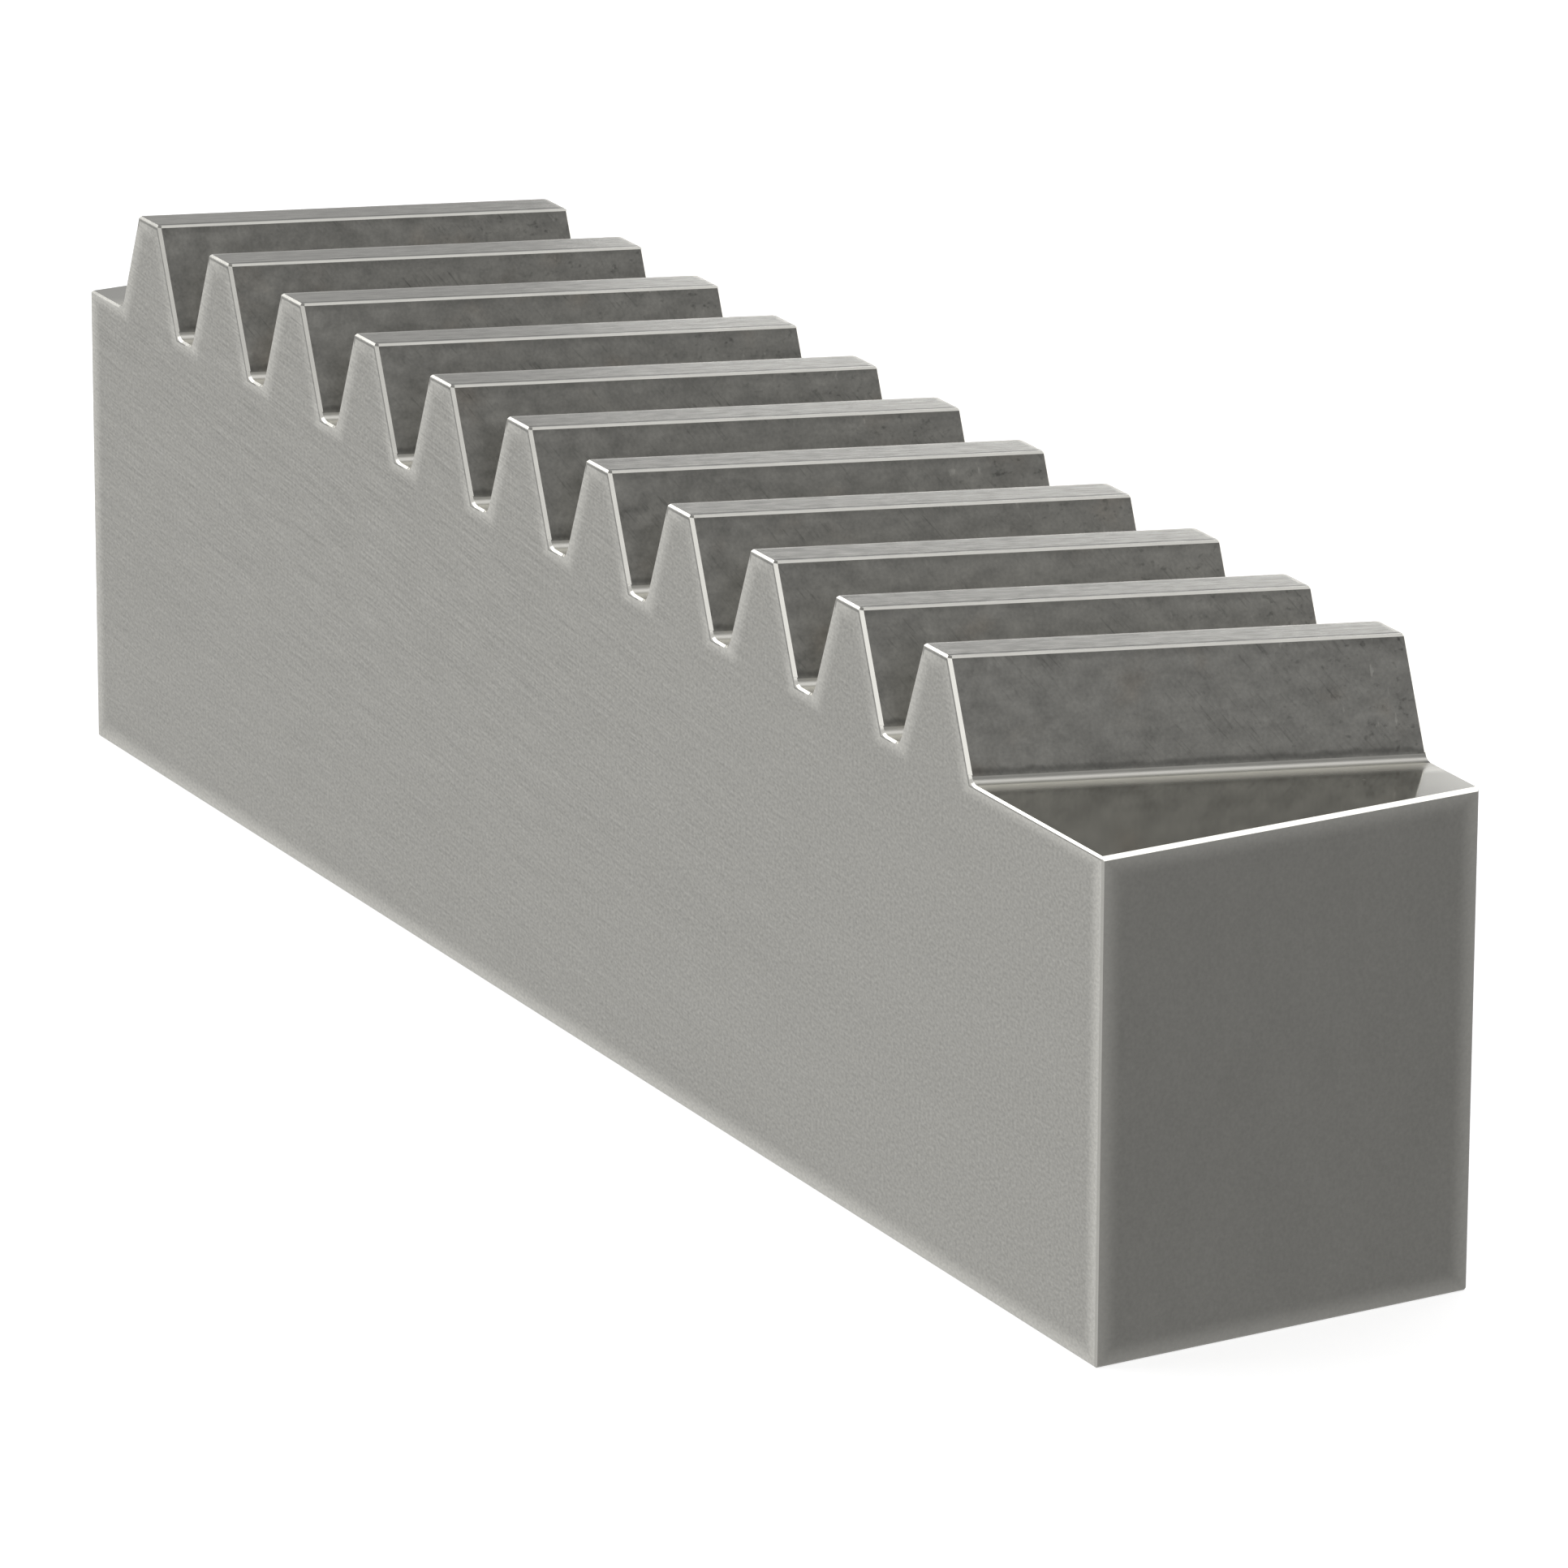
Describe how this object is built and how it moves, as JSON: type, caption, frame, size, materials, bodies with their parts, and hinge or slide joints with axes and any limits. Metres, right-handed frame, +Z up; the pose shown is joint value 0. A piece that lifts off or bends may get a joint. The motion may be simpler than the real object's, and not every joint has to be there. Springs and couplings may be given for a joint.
{
  "type": "helical gear rack",
  "caption": "Straight steel gear rack with slanted trapezoidal teeth across the top of a solid bar; a pinion rolls along it to turn rotation into straight travel.",
  "frame": {"origin": "centre of the bar's underside", "axes": "X along the bar, Y across it, +Z up to the tooth tips; the teeth's +Y ends lie further along +X than their -Y ends"},
  "size_m": [0.255, 0.05, 0.075],
  "materials": {
    "bar_steel": "ground bright, with fine lines along the bar",
    "tooth_steel": "milled flanks, bright edges"
  },
  "bodies": {
    "root": {"rack_bar": "bar_steel", "tooth_01": "tooth_steel", "tooth_02": "tooth_steel", "tooth_03": "tooth_steel", "tooth_04": "tooth_steel", "tooth_05": "tooth_steel", "tooth_06": "tooth_steel", "tooth_07": "tooth_steel", "tooth_08": "tooth_steel", "tooth_09": "tooth_steel", "tooth_10": "tooth_steel", "tooth_11": "tooth_steel"}
  },
  "joints": []
}
